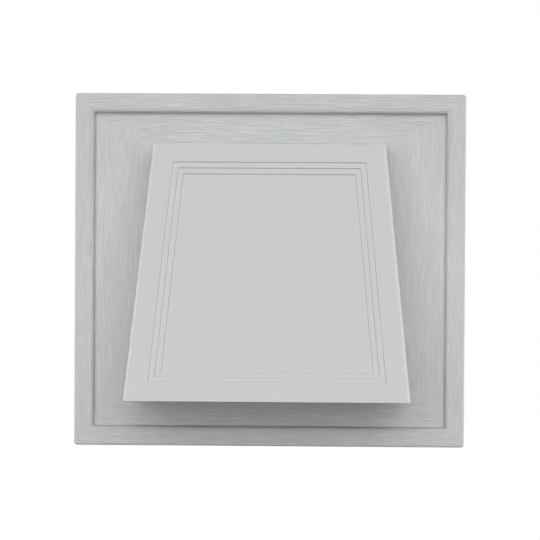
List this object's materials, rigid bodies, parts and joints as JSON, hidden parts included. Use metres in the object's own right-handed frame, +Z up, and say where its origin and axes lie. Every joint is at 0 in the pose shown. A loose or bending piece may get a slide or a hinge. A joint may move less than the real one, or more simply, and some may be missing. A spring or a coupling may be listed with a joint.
{
  "type": "hooded wall vent",
  "caption": "Hooded wall vent with a clip-on grained frame, a leaning open-bottomed hood, a duct collar and a hinged gravity flap.",
  "frame": {"origin": "on the duct's axis, in the plane of the wall that the base is nailed to", "axes": "+Z up the wall, +X to the right seen from the front, +Y into the wall along the duct; the front looks along -Y"},
  "size_m": [0.225, 0.161, 0.2032],
  "materials": {
    "grained_front": "light grey moulded plastic with fine wood grain",
    "smooth_hood": "light grey moulded plastic, smooth and satin",
    "plain_base": "light grey moulded plastic, plain",
    "plain_flap": "light grey moulded plastic, plain"
  },
  "bodies": {
    "vent": {"trim_frame": "grained_front", "hood": "smooth_hood", "mounting_base": "plain_base"},
    "flap": {"damper_flap": "plain_flap"}
  },
  "joints": [
    {"name": "flap_hinge", "type": "hinge", "parent": "vent", "child": "flap", "pos_m": [0, -0.0095, 0.0537], "axis": [-1, 0, 0], "range_deg": [0, 45]}
  ]
}
